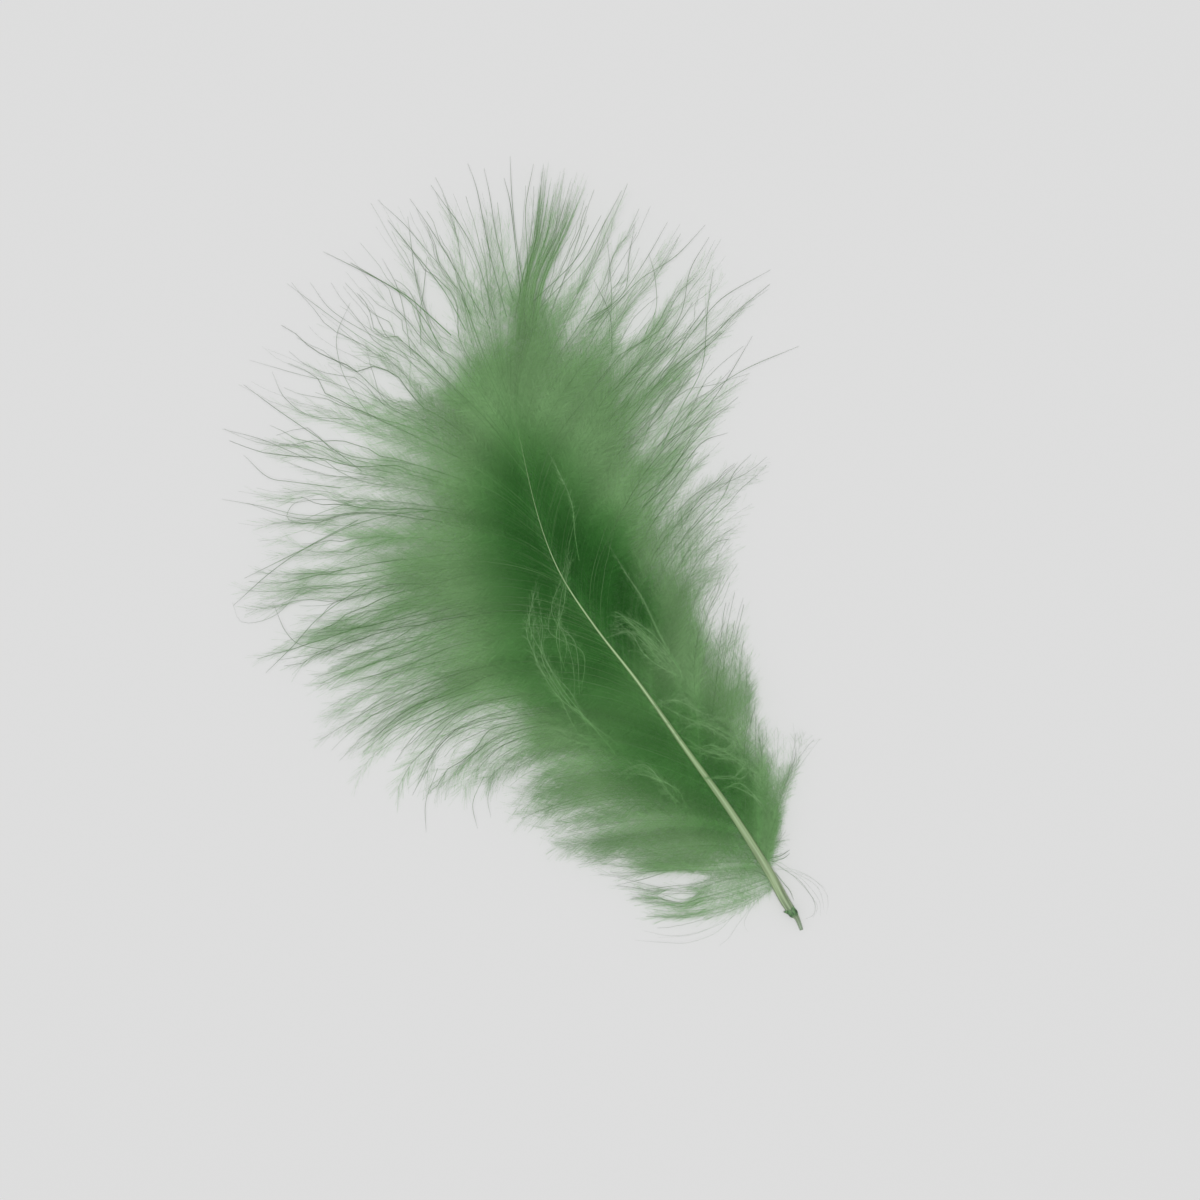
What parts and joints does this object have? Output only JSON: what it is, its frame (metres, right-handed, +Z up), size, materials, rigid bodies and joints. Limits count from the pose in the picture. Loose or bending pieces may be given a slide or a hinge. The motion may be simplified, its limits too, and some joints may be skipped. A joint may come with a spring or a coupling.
{
  "type": "marabou feather",
  "caption": "Loose dyed down feather lying flat: a bare quill and thin curved shaft with soft down fanning out on both sides.",
  "frame": {"origin": "middle of the feather's outline, on the surface it lies on", "axes": "+Y along the feather from the quill's broken tip to the far end of the down, +X across it to the right as seen from above, +Z up from the surface"},
  "size_m": [0.0952, 0.1314, 0.0073],
  "materials": {
    "down": "soft matt dyed down",
    "quill": "pale dyed keratin with a slight gloss"
  },
  "bodies": {
    "root": {"feather": "down"}
  },
  "joints": []
}
